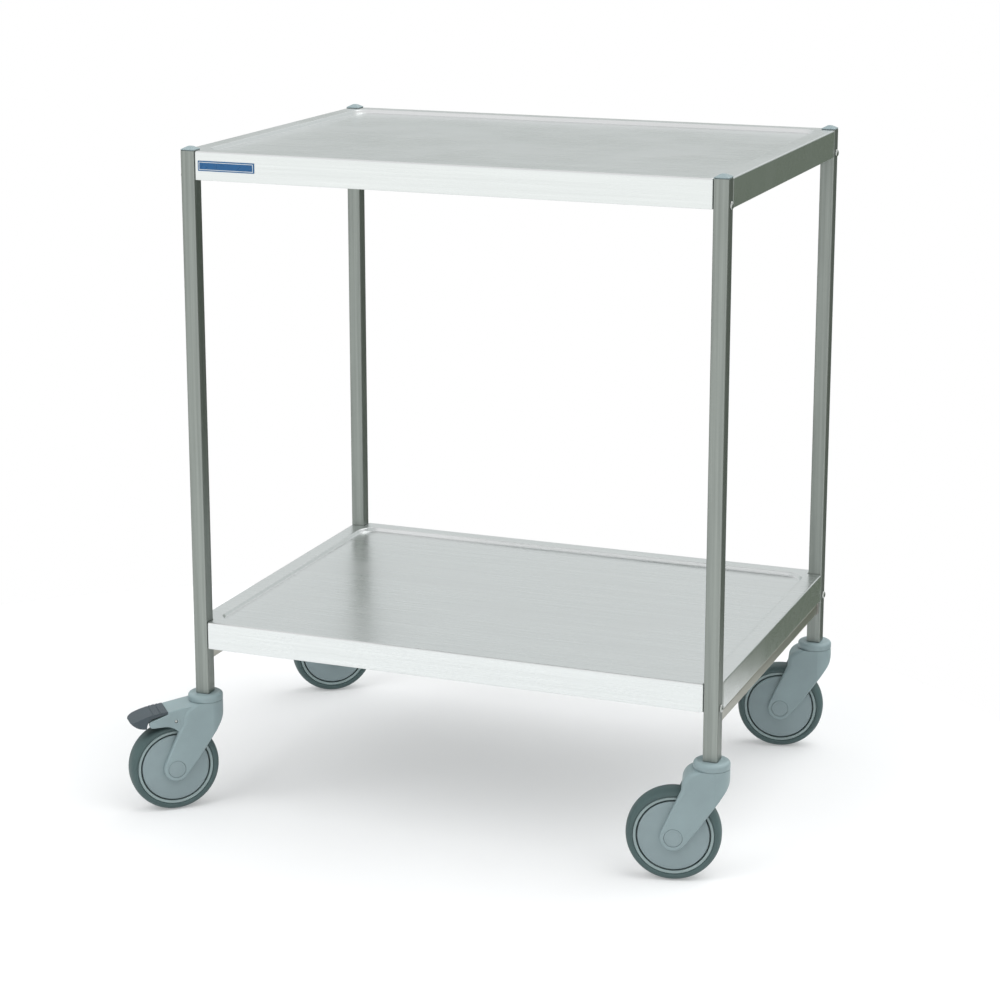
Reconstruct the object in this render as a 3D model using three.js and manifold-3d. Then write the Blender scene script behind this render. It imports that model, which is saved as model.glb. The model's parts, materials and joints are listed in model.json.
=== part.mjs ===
// A two-shelf instrument trolley in stainless steel on four swivel casters, two of them braked.
// Millimetres, +Z up. The front faces -Y and the long sides run along X.
// The origin is on the floor, under the middle of the trolley's outer box.
import * as THREE from 'three';
import { mergeVertices } from 'three/addons/utils/BufferGeometryUtils.js';
import Module from 'manifold-3d';

const wasm = await Module();
wasm.setup();

// ---------------------------------------------------------------- driving dimensions
const GAP = 0.3;                 // clearance between neighbouring pieces

const LENGTH = 750;              // over the legs, along X
const WIDTH = 545;               // over the legs, along Y
const TOP_SHELF_Z = 915;         // rim of the top shelf
const LOWER_SHELF_Z = 267;       // rim of the lower shelf

const LEG = 20;                  // square tube
const LEG_WALL = 1.5;
const LEG_FOOT_Z = 163.5;        // where the tube stands on its caster
const CAP_HEIGHT = 5.5;
const CAP_PLUG_DEPTH = 14;

const APRON = 38;                // depth of a shelf's folded sides
const SHEET = 1.2;
const RIM_WIDTH = 22;            // flat rim around a shelf's sunken panel
const PANEL_DEPTH = 5;
const PANEL_SLOPE = 5;           // how far the step runs in while it goes down
const PANEL_CORNER = 26;

const BAR_HEIGHT = 15;           // end bars under the lower shelf
const BAR_THICKNESS = 10;
const BAR_WALL = 1.2;
const BAR_DROP = 6.5;            // space between the apron and the bar

const SCREW_DROP = 33;           // screw axis below a shelf's rim
const SCREW_SHANK = 5;
const SCREW_HEAD = 10.5;
const SCREW_HEAD_HEIGHT = 3.2;
const SCREW_SOCKET = 3.5;
const WELD_NUT = 9;
const WELD_NUT_DEPTH = 4;

const LABEL = { length: 82, height: 13.5, thickness: 0.6, left: 26, below: 12 };

const WHEEL_RADIUS = 62.5;
const TYRE_HALF_WIDTH = 15.8;
const RIM_RADIUS = 52.6;
const RIM_HALF_WIDTH = 14.4;
const GUARD_RADIUS = 46.9;
const GUARD_GROOVE = 1.8;        // open ring between a guard and the rim
const GUARD_EDGE = 1.5;          // thickness of a guard at its edge
const GUARD_HUB_RADIUS = 18;
const RIM_LIP = 2.2;             // how far the rim's ring stands over the guard's seat
const RIM_WEB_HALF_WIDTH = 4;
const RIM_HUB_RADIUS = 13;
const TRAIL = 47.5;              // axle behind the swivel axis
const AXLE_RADIUS = 5;
const AXLE_HEAD_RADIUS = 12;
const AXLE_HEAD_DEPTH = 2.7;

const COLLAR_RADIUS = 24;
const COLLAR_BOTTOM_Z = 153.2;
const STEM_RADIUS = 7;
const STEM_BOTTOM_Z = 126;
const STEM_PLUG_HEIGHT = 50;

const FORK_TOP_Z = COLLAR_BOTTOM_Z - GAP;
const FORK_HALF_WIDTH = 23.5;
const FORK_INSIDE = 17.4;        // half the space between the arms
const FORK_END_RADIUS = 17.8;
const WHEEL_WELL_RADIUS = 66;

// Side outlines of a caster: u runs from the swivel axis past the axle, and z is up.
const ARM = {
  back: [-COLLAR_RADIUS, 137.9],
  backBend: [-COLLAR_RADIUS, 129.9],
  heel: [-14, 118.4],
  foot: [16, 73.9],
  footAngle: 215,                // where the round end starts and ends
  frontAngle: 384,
  front: [38, 127.9],
  crownBend: [39.5, 146.9],
  crown: [22, FORK_TOP_Z],
};

const BRAKE_PIVOT = { u: 46.5, z: 131.5 };
const BRAKE_PIN_RADIUS = 2;
const BRAKE_HUB_RADIUS = 4;
const CHEEK_HALF_WIDTH = 21.5;
const HOOD_TOP_Z = 146.2;
const HOOD_THICKNESS = 3.2;
const HOOD_START = 38.6;
const HOOD_END = 57.3;
const CHEEK_UNDERSIDE = [[24, HOOD_TOP_Z], [30, 125], [43, 115.5], [48, 120.5], [57, 124.6], [68, 124.9]];
const CHEEK_TIP = { u: 78.5, z: 129.8, radius: 5.5 };
const CHEEK_SHOULDER_Z = 142.2;
const LEVER_HALF_WIDTH = 8;
const LEVER_STRAP = [
  [46.5, 128], [61, 127.2], [62, 126.2], [70, 125], [71.5, 128.5], [84, 128.5],
  [85, 132], [78, 137.8], [60, 142.4], [55, 138.5], [46.5, 135],
];
const PAD = {
  halfWidth: 20.5,
  underside: [[57.8, 143.6], [78.2, 138.4], [80.8, 138], [84.4, 134.4], [86.2, 130.5], [87.5, 124.4]],
  undersideBend: [99, 124.5],
  toe: [109, 133],
  topBend: [86, 145],
  heel: [57.8, 146.4],
  toeHalfWidth: 10,
  toeStart: 98,                  // where the sides start to round in
};

const CORNERS = [
  { name: 'front_left', x: -1, y: -1, trailAngle: 220.5, braked: true },
  { name: 'front_right', x: 1, y: -1, trailAngle: 195, braked: false },
  { name: 'rear_left', x: -1, y: 1, trailAngle: 213.8, braked: true },
  { name: 'rear_right', x: 1, y: 1, trailAngle: 192.4, braked: false },
];
const ENDS = [
  { name: 'left', x: -1 },
  { name: 'right', x: 1 },
];
const SHELVES = [
  { name: 'top', rimZ: TOP_SHELF_Z },
  { name: 'lower', rimZ: LOWER_SHELF_Z },
];

const LEG_X = (LENGTH - LEG) / 2;  // centre of a leg
const LEG_Y = (WIDTH - LEG) / 2;

// ---------------------------------------------------------------- materials
function material(colour, roughness, metalness) {
  return new THREE.MeshStandardMaterial({ color: colour, roughness, metalness });
}
const STEEL = material(0xb9bfbd, 0.35, 1);
const BRIGHT_STEEL = material(0xc9ccca, 0.22, 1);
const GREY_PLASTIC = material(0x9bacb2, 0.45, 0);
const TYRE_RUBBER = material(0x556969, 0.7, 0);
const PAD_PLASTIC = material(0x4f5a63, 0.6, 0);
const LABEL_BLUE = material(0x1f6fae, 0.4, 0);

// ---------------------------------------------------------------- solids and booleans
function solid(geometry) {
  const bare = geometry.clone();
  bare.deleteAttribute('normal');
  bare.deleteAttribute('uv');
  const merged = mergeVertices(bare, 1e-4);
  return new wasm.Manifold(new wasm.Mesh({
    numProp: 3,
    vertProperties: new Float32Array(merged.attributes.position.array),
    triVerts: new Uint32Array(merged.index.array),
  }));
}

function geometryOf(manifold) {
  const mesh = manifold.getMesh();
  const geometry = new THREE.BufferGeometry();
  geometry.setAttribute('position', new THREE.BufferAttribute(mesh.vertProperties, 3));
  geometry.setIndex(new THREE.BufferAttribute(mesh.triVerts, 1));
  geometry.computeVertexNormals();
  return geometry;
}

function box(sizeX, sizeY, sizeZ, x = 0, y = 0, z = 0) {
  return new THREE.BoxGeometry(sizeX, sizeY, sizeZ).translate(x, y, z + sizeZ / 2);
}

// An upright prism on the outline, from z to z + height.
function prism(outline, height, z = 0) {
  const options = { depth: height, bevelEnabled: false, curveSegments: 6 };
  return new THREE.ExtrudeGeometry(outline, options).translate(0, 0, z);
}

// A side outline, drawn as (x, z), made as thick as 2 * halfWidth across Y.
function slab(outline, halfWidth) {
  const options = { depth: 2 * halfWidth, bevelEnabled: false, curveSegments: 6 };
  return new THREE.ExtrudeGeometry(outline, options).rotateX(Math.PI / 2).translate(0, halfWidth, 0);
}

// A round piece about the Y axis, from [radius, y] pairs that run up its outside.
function turned(profile, segments, firstAngle = 0) {
  const points = profile.map(([radius, y]) => new THREE.Vector2(radius, y));
  return new THREE.LatheGeometry(points, segments, firstAngle);
}

function upright(geometry) {
  return geometry.rotateX(Math.PI / 2);
}

// A rod along Y, about (x, z).
function crossRod(radius, halfLength, x, z, segments = 16) {
  return new THREE.CylinderGeometry(radius, radius, 2 * halfLength, segments).translate(x, 0, z);
}

function polygon(points) {
  return new THREE.Shape(points.map(([x, y]) => new THREE.Vector2(x, y)));
}

function degrees(angle) {
  return THREE.MathUtils.degToRad(angle);
}

// ---------------------------------------------------------------- frame
function leg() {
  const height = TOP_SHELF_Z - LEG_FOOT_Z;
  const bore = LEG - 2 * LEG_WALL;
  let tube = solid(box(LEG, LEG, height, 0, 0, LEG_FOOT_Z));
  tube = tube.subtract(solid(box(bore, bore, height + 2, 0, 0, LEG_FOOT_Z - 1)));
  for (const shelf of SHELVES) {
    const hole = new THREE.CylinderGeometry(SCREW_SHANK / 2 + GAP, SCREW_SHANK / 2 + GAP, LEG + 2, 12);
    hole.rotateZ(Math.PI / 2).translate(0, 0, shelf.rimZ - SCREW_DROP);
    tube = tube.subtract(solid(hole));
  }
  return geometryOf(tube);
}

// A four-sided turned plug: its corners lie a diagonal away from the axis.
function legCap() {
  const corner = (LEG / 2) * Math.SQRT2;
  const plugCorner = (LEG / 2 - LEG_WALL - GAP) * Math.SQRT2;
  const dome = [
    [0, -CAP_PLUG_DEPTH],
    [plugCorner, -CAP_PLUG_DEPTH],
    [plugCorner, GAP],
    [corner, GAP],
    [corner, 0.4 * CAP_HEIGHT],
    [0.72 * corner, 0.8 * CAP_HEIGHT],
    [0.35 * corner, CAP_HEIGHT],
    [0, CAP_HEIGHT],
  ];
  return upright(turned(dome, 4, Math.PI / 4)).translate(0, 0, TOP_SHELF_Z);
}

// The rectangle over the legs with a square notch for each leg, drawn in by an inset.
function shelfOutline(inset) {
  const x = LENGTH / 2 - inset;
  const y = WIDTH / 2 - inset;
  const notchX = x - LEG - GAP;
  const notchY = y - LEG - GAP;
  return polygon([
    [-notchX, -y], [notchX, -y], [notchX, -notchY], [x, -notchY],
    [x, notchY], [notchX, notchY], [notchX, y], [-notchX, y],
    [-notchX, notchY], [-x, notchY], [-x, -notchY], [-notchX, -notchY],
  ]);
}

function roundedRectangle(inset, radius) {
  const x = LENGTH / 2 - inset;
  const y = WIDTH / 2 - inset;
  const shape = new THREE.Shape();
  shape.absarc(x - radius, radius - y, radius, degrees(270), degrees(360), false);
  shape.absarc(x - radius, y - radius, radius, 0, degrees(90), false);
  shape.absarc(radius - x, y - radius, radius, degrees(90), degrees(180), false);
  shape.absarc(radius - x, radius - y, radius, degrees(180), degrees(270), false);
  return shape;
}

// The sunken panel's space: it narrows downwards by the slope of the step.
function panelSpace(grow, height, z) {
  const geometry = prism(roundedRectangle(RIM_WIDTH - grow, PANEL_CORNER), height, z);
  const position = geometry.attributes.position;
  const shrinkX = 1 - PANEL_SLOPE / (LENGTH / 2 - RIM_WIDTH);
  const shrinkY = 1 - PANEL_SLOPE / (WIDTH / 2 - RIM_WIDTH);
  for (let i = 0; i < position.count; i += 1) {
    if (position.getZ(i) < z + height / 2) {
      position.setX(i, position.getX(i) * shrinkX);
      position.setY(i, position.getY(i) * shrinkY);
    }
  }
  return geometry;
}

// A pressed tray: folded sides, flat rim, sunken panel, and a weld nut behind each screw.
function shelf() {
  const panelBottom = APRON - PANEL_DEPTH;
  let tray = solid(prism(shelfOutline(0), APRON));
  tray = tray.subtract(solid(prism(shelfOutline(SHEET), APRON - SHEET + 1, -1)));
  tray = tray.add(solid(panelSpace(SHEET, PANEL_DEPTH, panelBottom - SHEET)));
  tray = tray.subtract(solid(panelSpace(0, PANEL_DEPTH, panelBottom)));
  const wallX = LENGTH / 2 - LEG - GAP - SHEET;
  for (const corner of CORNERS) {
    const nut = new THREE.CylinderGeometry(WELD_NUT / 2, WELD_NUT / 2, WELD_NUT_DEPTH, 6);
    nut.rotateZ(Math.PI / 2);
    nut.translate(corner.x * (wallX - WELD_NUT_DEPTH / 2 + 0.1), corner.y * LEG_Y, APRON - SCREW_DROP);
    tray = tray.add(solid(nut));
    const radius = SCREW_SHANK / 2 + GAP;
    const hole = new THREE.CylinderGeometry(radius, radius, 2 * (WELD_NUT_DEPTH + SHEET), 12);
    hole.rotateZ(Math.PI / 2);
    hole.translate(corner.x * wallX, corner.y * LEG_Y, APRON - SCREW_DROP);
    tray = tray.subtract(solid(hole));
  }
  return geometryOf(tray);
}

function crossbar() {
  const length = WIDTH - 2 * LEG - 2 * GAP;
  const z = LOWER_SHELF_Z - APRON - BAR_DROP - BAR_HEIGHT;
  const bar = solid(box(BAR_THICKNESS, length, BAR_HEIGHT, 0, 0, z));
  const inside = box(
    BAR_THICKNESS - 2 * BAR_WALL, length + 2, BAR_HEIGHT - 2 * BAR_WALL, 0, 0, z + BAR_WALL,
  );
  return geometryOf(bar.subtract(solid(inside)));
}

// A button-head screw along +X: the head's seat is at x = 0 and the shank runs to -X.
function screw() {
  const shankLength = LEG + GAP + SHEET + WELD_NUT_DEPTH;
  const head = SCREW_HEAD / 2;
  const shank = SCREW_SHANK / 2;
  let body = solid(turned([
    [0, -shankLength],
    [shank, -shankLength],
    [shank, 0],
    [head, 0],
    [0.92 * head, 0.45 * SCREW_HEAD_HEIGHT],
    [0.6 * head, 0.9 * SCREW_HEAD_HEIGHT],
    [0.4 * head, SCREW_HEAD_HEIGHT],
    [0, SCREW_HEAD_HEIGHT],
  ], 10));
  const socket = new THREE.CylinderGeometry(SCREW_SOCKET / 2, SCREW_SOCKET / 2, 2, 6);
  body = body.subtract(solid(socket.translate(0, SCREW_HEAD_HEIGHT, 0)));
  return geometryOf(body).rotateZ(-Math.PI / 2).translate(GAP, 0, 0);
}

function labelPlate() {
  const x = -LENGTH / 2 + LABEL.left + LABEL.length / 2;
  const y = -WIDTH / 2 - GAP - LABEL.thickness / 2;
  const z = TOP_SHELF_Z - LABEL.below - LABEL.height;
  return box(LABEL.length, LABEL.thickness, LABEL.height, x, y, z);
}

// ---------------------------------------------------------------- caster, about its swivel axis
// The swivel axis is at x = 0, the wheel trails towards +X and its axle lies along Y.
function stem() {
  const plug = LEG - 2 * LEG_WALL - 2 * GAP;
  const pinHeight = LEG_FOOT_Z + 4 - STEM_BOTTOM_Z;
  const pin = new THREE.CylinderGeometry(STEM_RADIUS, STEM_RADIUS, pinHeight, 16);
  upright(pin).translate(0, 0, STEM_BOTTOM_Z + pinHeight / 2);
  const plugSolid = solid(box(plug, plug, STEM_PLUG_HEIGHT, 0, 0, LEG_FOOT_Z + GAP));
  return geometryOf(plugSolid.add(solid(pin)));
}

function collar() {
  const bore = STEM_RADIUS + GAP;
  const top = LEG_FOOT_Z - GAP;
  return upright(turned([
    [bore, COLLAR_BOTTOM_Z],
    [COLLAR_RADIUS, COLLAR_BOTTOM_Z],
    [COLLAR_RADIUS, top - 3],
    [COLLAR_RADIUS - 1.2, top - 0.9],
    [COLLAR_RADIUS - 3.4, top],
    [bore, top],
    [bore, COLLAR_BOTTOM_Z],
  ], 20));
}

// Side view of the housing: upright back, arm swept to the axle, and a crown over the tyre.
function forkOutline() {
  const { footAngle, frontAngle } = ARM;
  const shape = new THREE.Shape();
  shape.moveTo(-COLLAR_RADIUS, FORK_TOP_Z);
  shape.lineTo(...ARM.back);
  shape.quadraticCurveTo(...ARM.backBend, ...ARM.heel);
  shape.lineTo(...ARM.foot);
  shape.absarc(TRAIL, WHEEL_RADIUS, FORK_END_RADIUS, degrees(footAngle), degrees(frontAngle), false);
  shape.lineTo(...ARM.front);
  shape.quadraticCurveTo(...ARM.crownBend, ...ARM.crown);
  return shape;
}

// Top view of the housing: round about the swivel axis, and straight where the arms trail.
function forkPlan() {
  const shape = new THREE.Shape();
  const sideAngle = Math.asin(FORK_HALF_WIDTH / COLLAR_RADIUS);
  shape.moveTo(TRAIL + 2 * FORK_END_RADIUS, FORK_HALF_WIDTH);
  shape.absarc(0, 0, COLLAR_RADIUS, sideAngle, 2 * Math.PI - sideAngle, false);
  shape.lineTo(TRAIL + 2 * FORK_END_RADIUS, -FORK_HALF_WIDTH);
  return shape;
}

// The brake housing on a braked fork: two cheeks over the tyre under a flat hood.
function brakeHousing() {
  const tip = CHEEK_TIP;
  const underHood = HOOD_TOP_Z - HOOD_THICKNESS;
  const cheeks = polygon(CHEEK_UNDERSIDE);
  cheeks.absarc(tip.u, tip.z, tip.radius, degrees(270), degrees(450), false);
  cheeks.lineTo(HOOD_END, CHEEK_SHOULDER_Z);
  cheeks.lineTo(HOOD_END, HOOD_TOP_Z);
  const past = tip.u + 2 * tip.radius;
  const pocket = polygon([
    [HOOD_START, WHEEL_RADIUS], [past, WHEEL_RADIUS], [past, FORK_TOP_Z], [HOOD_END, FORK_TOP_Z],
    [HOOD_END, underHood], [HOOD_START, underHood],
  ]);
  return solid(slab(cheeks, CHEEK_HALF_WIDTH)).subtract(solid(slab(pocket, FORK_INSIDE)));
}

function fork(braked) {
  const plan = solid(prism(forkPlan(), FORK_TOP_Z));
  let body = solid(slab(forkOutline(), FORK_HALF_WIDTH + 1)).intersect(plan);
  if (braked) {
    body = body.add(brakeHousing());
    const pinHole = BRAKE_PIN_RADIUS + GAP;
    body = body.subtract(solid(crossRod(pinHole, 30, BRAKE_PIVOT.u, BRAKE_PIVOT.z, 12)));
  }
  const well = crossRod(WHEEL_WELL_RADIUS, FORK_INSIDE, TRAIL, WHEEL_RADIUS, 32);
  const bore = upright(new THREE.CylinderGeometry(STEM_RADIUS + GAP, STEM_RADIUS + GAP, 40, 16));
  bore.translate(0, 0, STEM_BOTTOM_Z - GAP + 20);
  body = body.subtract(solid(well)).subtract(solid(bore));
  body = body.subtract(solid(crossRod(AXLE_RADIUS + GAP, 30, TRAIL, WHEEL_RADIUS)));
  for (const side of [-1, 1]) {
    const recess = crossRod(AXLE_HEAD_RADIUS + GAP, AXLE_HEAD_DEPTH + GAP, TRAIL, WHEEL_RADIUS, 20);
    body = body.subtract(solid(recess.translate(0, side * FORK_HALF_WIDTH, 0)));
  }
  return geometryOf(body);
}

// A riveted axle with a flush round head in each arm.
function axle() {
  const outside = FORK_HALF_WIDTH;
  const inside = FORK_HALF_WIDTH - AXLE_HEAD_DEPTH;
  return turned([
    [0, -outside],
    [AXLE_HEAD_RADIUS, -outside],
    [AXLE_HEAD_RADIUS, -inside],
    [AXLE_RADIUS, -inside],
    [AXLE_RADIUS, inside],
    [AXLE_HEAD_RADIUS, inside],
    [AXLE_HEAD_RADIUS, outside],
    [0, outside],
  ], 16);
}

// The wheel's centre: hub, web and a ring with a lip round each thread guard.
function rim() {
  const bore = AXLE_RADIUS + GAP;
  const seat = RIM_HALF_WIDTH - RIM_LIP;
  const lip = GUARD_RADIUS + GUARD_GROOVE;
  const half = [
    [RIM_RADIUS, RIM_HALF_WIDTH],
    [lip, RIM_HALF_WIDTH],
    [lip, seat],
    [lip - 4, seat],
    [lip - 5, RIM_WEB_HALF_WIDTH],
    [RIM_HUB_RADIUS + 1, RIM_WEB_HALF_WIDTH],
    [RIM_HUB_RADIUS, seat],
    [bore, seat],
  ];
  const mirrored = half.map(([radius, y]) => [radius, -y]).reverse();
  return turned([...mirrored, ...half, mirrored[0]], 18);
}

// The tread's flats touch the wheel's radius, so a flat stands on the floor.
function tyre() {
  const segments = 24;
  const flats = 1 / Math.cos(Math.PI / segments);
  const half = [
    [WHEEL_RADIUS, 5],
    [WHEEL_RADIUS - 1.3, 11.5],
    [WHEEL_RADIUS - 4, TYRE_HALF_WIDTH - 0.8],
    [WHEEL_RADIUS - 8, TYRE_HALF_WIDTH],
    [RIM_RADIUS + GAP, RIM_HALF_WIDTH],
  ].map(([radius, y]) => [radius * flats, y]);
  const mirrored = half.map(([radius, y]) => [radius, -y]).reverse();
  return turned([...mirrored, ...half, mirrored[0]], segments, Math.PI / segments);
}

// A plain round cover between the wheel and a fork arm, on the +Y side.
function threadGuard() {
  const bore = AXLE_RADIUS + GAP;
  const back = RIM_HALF_WIDTH - RIM_LIP + GAP;
  const hub = FORK_INSIDE - GAP;
  return turned([
    [bore, back],
    [GUARD_RADIUS, back],
    [GUARD_RADIUS, back + GUARD_EDGE],
    [GUARD_HUB_RADIUS, hub],
    [bore, hub],
    [bore, back],
  ], 24);
}

// ---------------------------------------------------------------- brake
function brakePin() {
  return crossRod(BRAKE_PIN_RADIUS, CHEEK_HALF_WIDTH - GAP, BRAKE_PIVOT.u, BRAKE_PIVOT.z, 12);
}

// The lever carries the pad, and its foot stands just clear of the tyre.
function brakeLever() {
  const strap = polygon(LEVER_STRAP);
  const hub = crossRod(BRAKE_HUB_RADIUS, FORK_INSIDE - GAP, BRAKE_PIVOT.u, BRAKE_PIVOT.z, 12);
  const bore = crossRod(BRAKE_PIN_RADIUS + GAP, 20, BRAKE_PIVOT.u, BRAKE_PIVOT.z, 12);
  const body = solid(slab(strap, LEVER_HALF_WIDTH)).add(solid(hub));
  return geometryOf(body.subtract(solid(bore)));
}

// The foot pad: an arched plate with a deeper toe.
function brakePad() {
  const side = polygon(PAD.underside);
  side.quadraticCurveTo(...PAD.undersideBend, ...PAD.toe);
  side.quadraticCurveTo(...PAD.topBend, ...PAD.heel);
  const [toeU] = PAD.toe;
  const plan = new THREE.Shape();
  plan.moveTo(HOOD_START, -PAD.halfWidth);
  plan.lineTo(PAD.toeStart, -PAD.halfWidth);
  plan.quadraticCurveTo(toeU - 1.5, -PAD.halfWidth, toeU, -PAD.toeHalfWidth);
  plan.lineTo(toeU, PAD.toeHalfWidth);
  plan.quadraticCurveTo(toeU - 1.5, PAD.halfWidth, PAD.toeStart, PAD.halfWidth);
  plan.lineTo(HOOD_START, PAD.halfWidth);
  const body = solid(slab(side, PAD.halfWidth + 1)).intersect(solid(prism(plan, FORK_TOP_Z)));
  return geometryOf(body);
}

// ---------------------------------------------------------------- assembly
const cart = new THREE.Group();

function addMesh(parent, name, geometry, meshMaterial) {
  const mesh = new THREE.Mesh(geometry, meshMaterial);
  mesh.name = name;
  parent.add(mesh);
  return mesh;
}

function addFrame() {
  for (const tray of SHELVES) {
    addMesh(cart, `${tray.name}_shelf`, shelf(), STEEL).position.z = tray.rimZ - APRON;
  }
  for (const end of ENDS) {
    addMesh(cart, `crossbar_${end.name}`, crossbar(), STEEL).position.x = end.x * LEG_X;
  }
  addMesh(cart, 'label_plate', labelPlate(), LABEL_BLUE);
}

// A leg with its cap, its two screws and the fixed pieces of its caster.
function addLeg(corner) {
  const group = new THREE.Group();
  group.position.set(corner.x * LEG_X, corner.y * LEG_Y, 0);
  addMesh(group, `leg_${corner.name}`, leg(), STEEL);
  addMesh(group, `leg_cap_${corner.name}`, legCap(), GREY_PLASTIC);
  addMesh(group, `stem_${corner.name}`, stem(), BRIGHT_STEEL);
  addMesh(group, `collar_${corner.name}`, collar(), GREY_PLASTIC);
  for (const tray of SHELVES) {
    const fastener = addMesh(group, `screw_${tray.name}_${corner.name}`, screw(), BRIGHT_STEEL);
    fastener.position.set((corner.x * LEG) / 2, 0, tray.rimZ - SCREW_DROP);
    fastener.rotation.z = corner.x > 0 ? 0 : Math.PI;
  }
  cart.add(group);
}

function addCaster(corner) {
  const caster = new THREE.Group();
  caster.position.set(corner.x * LEG_X, corner.y * LEG_Y, 0);
  caster.rotation.z = degrees(corner.trailAngle);
  addMesh(caster, `fork_${corner.name}`, fork(corner.braked), GREY_PLASTIC);
  if (corner.braked) {
    addMesh(caster, `brake_pin_${corner.name}`, brakePin(), BRIGHT_STEEL);
    addMesh(caster, `brake_lever_${corner.name}`, brakeLever(), BRIGHT_STEEL);
    addMesh(caster, `brake_pad_${corner.name}`, brakePad(), PAD_PLASTIC);
  }
  const wheel = new THREE.Group();
  wheel.position.set(TRAIL, 0, WHEEL_RADIUS);
  addMesh(wheel, `axle_${corner.name}`, axle(), GREY_PLASTIC);
  addMesh(wheel, `rim_${corner.name}`, rim(), GREY_PLASTIC);
  addMesh(wheel, `tyre_${corner.name}`, tyre(), TYRE_RUBBER);
  addMesh(wheel, `guard_outer_${corner.name}`, threadGuard(), GREY_PLASTIC);
  addMesh(wheel, `guard_inner_${corner.name}`, threadGuard().rotateX(Math.PI), GREY_PLASTIC);
  caster.add(wheel);
  cart.add(caster);
}

addFrame();
CORNERS.forEach(addLeg);
CORNERS.forEach(addCaster);

// The trailing wheels make the outer box lopsided, so its middle is brought over the origin.
cart.updateMatrixWorld(true);
const middle = new THREE.Box3().setFromObject(cart, true).getCenter(new THREE.Vector3());
cart.position.set(-middle.x, -middle.y, 0);

export default cart;
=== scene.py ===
import json
import math

import bmesh
import bpy
from mathutils import Matrix, Vector


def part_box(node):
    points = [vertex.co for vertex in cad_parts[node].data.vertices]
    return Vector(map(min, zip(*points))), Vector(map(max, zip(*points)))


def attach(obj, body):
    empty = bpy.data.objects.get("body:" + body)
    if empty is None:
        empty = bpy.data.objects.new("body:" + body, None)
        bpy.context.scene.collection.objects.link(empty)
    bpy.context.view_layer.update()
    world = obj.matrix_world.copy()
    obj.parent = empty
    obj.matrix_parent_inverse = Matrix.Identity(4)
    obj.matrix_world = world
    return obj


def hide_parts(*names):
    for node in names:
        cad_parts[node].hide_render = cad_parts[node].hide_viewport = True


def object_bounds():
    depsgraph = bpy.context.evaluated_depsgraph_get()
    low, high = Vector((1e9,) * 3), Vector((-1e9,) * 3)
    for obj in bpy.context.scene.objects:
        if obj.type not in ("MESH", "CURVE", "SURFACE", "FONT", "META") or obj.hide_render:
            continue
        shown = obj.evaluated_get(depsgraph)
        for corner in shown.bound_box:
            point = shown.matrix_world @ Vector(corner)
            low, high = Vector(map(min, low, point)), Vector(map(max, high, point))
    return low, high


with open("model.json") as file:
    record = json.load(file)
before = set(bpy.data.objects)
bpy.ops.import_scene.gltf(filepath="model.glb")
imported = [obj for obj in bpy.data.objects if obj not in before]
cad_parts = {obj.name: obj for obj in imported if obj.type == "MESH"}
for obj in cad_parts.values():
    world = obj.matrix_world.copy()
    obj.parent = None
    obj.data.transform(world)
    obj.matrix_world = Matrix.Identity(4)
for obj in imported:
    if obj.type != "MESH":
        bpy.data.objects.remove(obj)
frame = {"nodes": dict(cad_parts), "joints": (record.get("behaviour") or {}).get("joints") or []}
CAD_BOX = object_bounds()

# The instrument trolley: pressed steel shelves on square legs, four casters, two of them braked.
# Shapes are drawn in millimetres, and every object is made in metres.
MM = 0.001

CORNERS = ("front_left", "front_right", "rear_left", "rear_right")
JOINTS = {joint["name"]: joint for joint in frame["joints"]}
BRAKED = [c for c in CORNERS if f"brake_{c}_press" in JOINTS]

# Shelves
NOTCH = 20.3
NOTCH_OUTSIDE = 3.0
NOTCH_INSIDE = 1.5
EDGE_BEND = 2.5
SHEET = 1.2
RIM = 22.0
STEP_RUN = 5.0
STEP_RADIUS = 1.83
STEP_ANGLE = 60.0
PANEL_CORNER = 26.0
RING_CHANGE = RIM - 4.0
PANEL_MARGIN = 12.0
NUT_RADIUS = 4.5
NUT_DEPTH = 3.9
NUT_LEVEL = -33.0
NUT_SUNK = 0.05

# Tubes and fasteners
TUBE_CORNER = 1.9
TUBE_WALL = 1.5
BAR_CORNER = 1.6
BAR_WALL = 1.2
BEAD = 2.2
BEAD_POINTS = 56
RIPPLE = 0.02
RIPPLE_TURN = 1.9
HEAD_RADIUS = 5.25
HEAD_HEIGHT = 3.2
SOCKET_RADIUS = 1.75
SHANK_RADIUS = 2.5
SHANK_LENGTH = 26.0
LINE_INSET = 1.9

# Casters: u runs from the swivel axis past the axle, y across the wheel, and z up
TRAIL = 47.5
AXLE_Z = 62.5
COLLAR_RADIUS = 24.0
COLLAR_TOP = 163.2
STEM_BORE = 7.3
STEM_BORE_FOOT = 125.7
FORK_TOP = 152.9
FORK_HALF = 23.5
ARM_INSIDE = 17.4
ARM_END = 17.8
WELL_RADIUS = 66.0
AXLE_BORE = 5.3
CAP_RECESS = 12.3
CHEEK_HALF = 21.5
HOOD_TOP = 146.2
HOOD_THICKNESS = 3.2
PIVOT = (46.5, 131.5)
PIVOT_BORE = 2.3
PAD_HALF = 20.5
HEEL = 57.8

# Surfaces: the least turn of a sharp edge, how near points are merged, how the points across a flat
# side bunch towards its rounded edges, and the depth in metres and the tint of ground lines
SHARP = 35.0
MERGE = 0.002
FLANK = 78
GRIND_DEPTH = 0.000012
GROOVE_SHADE = 0.88

# Floor
FLOOR_MIDDLE = (-200.0, -330.0)
FLOOR_RADIUS = 1180.0
FLOOR_UNDERCUT = 100.0
FLOOR_COLOURS = (0.6, 0.605, 0.61), (0.62, 0.625, 0.63)
# The floor's glow is painted light, which lightens the cart's shadow on it
FLOOR_GLOW = 0.29

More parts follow.
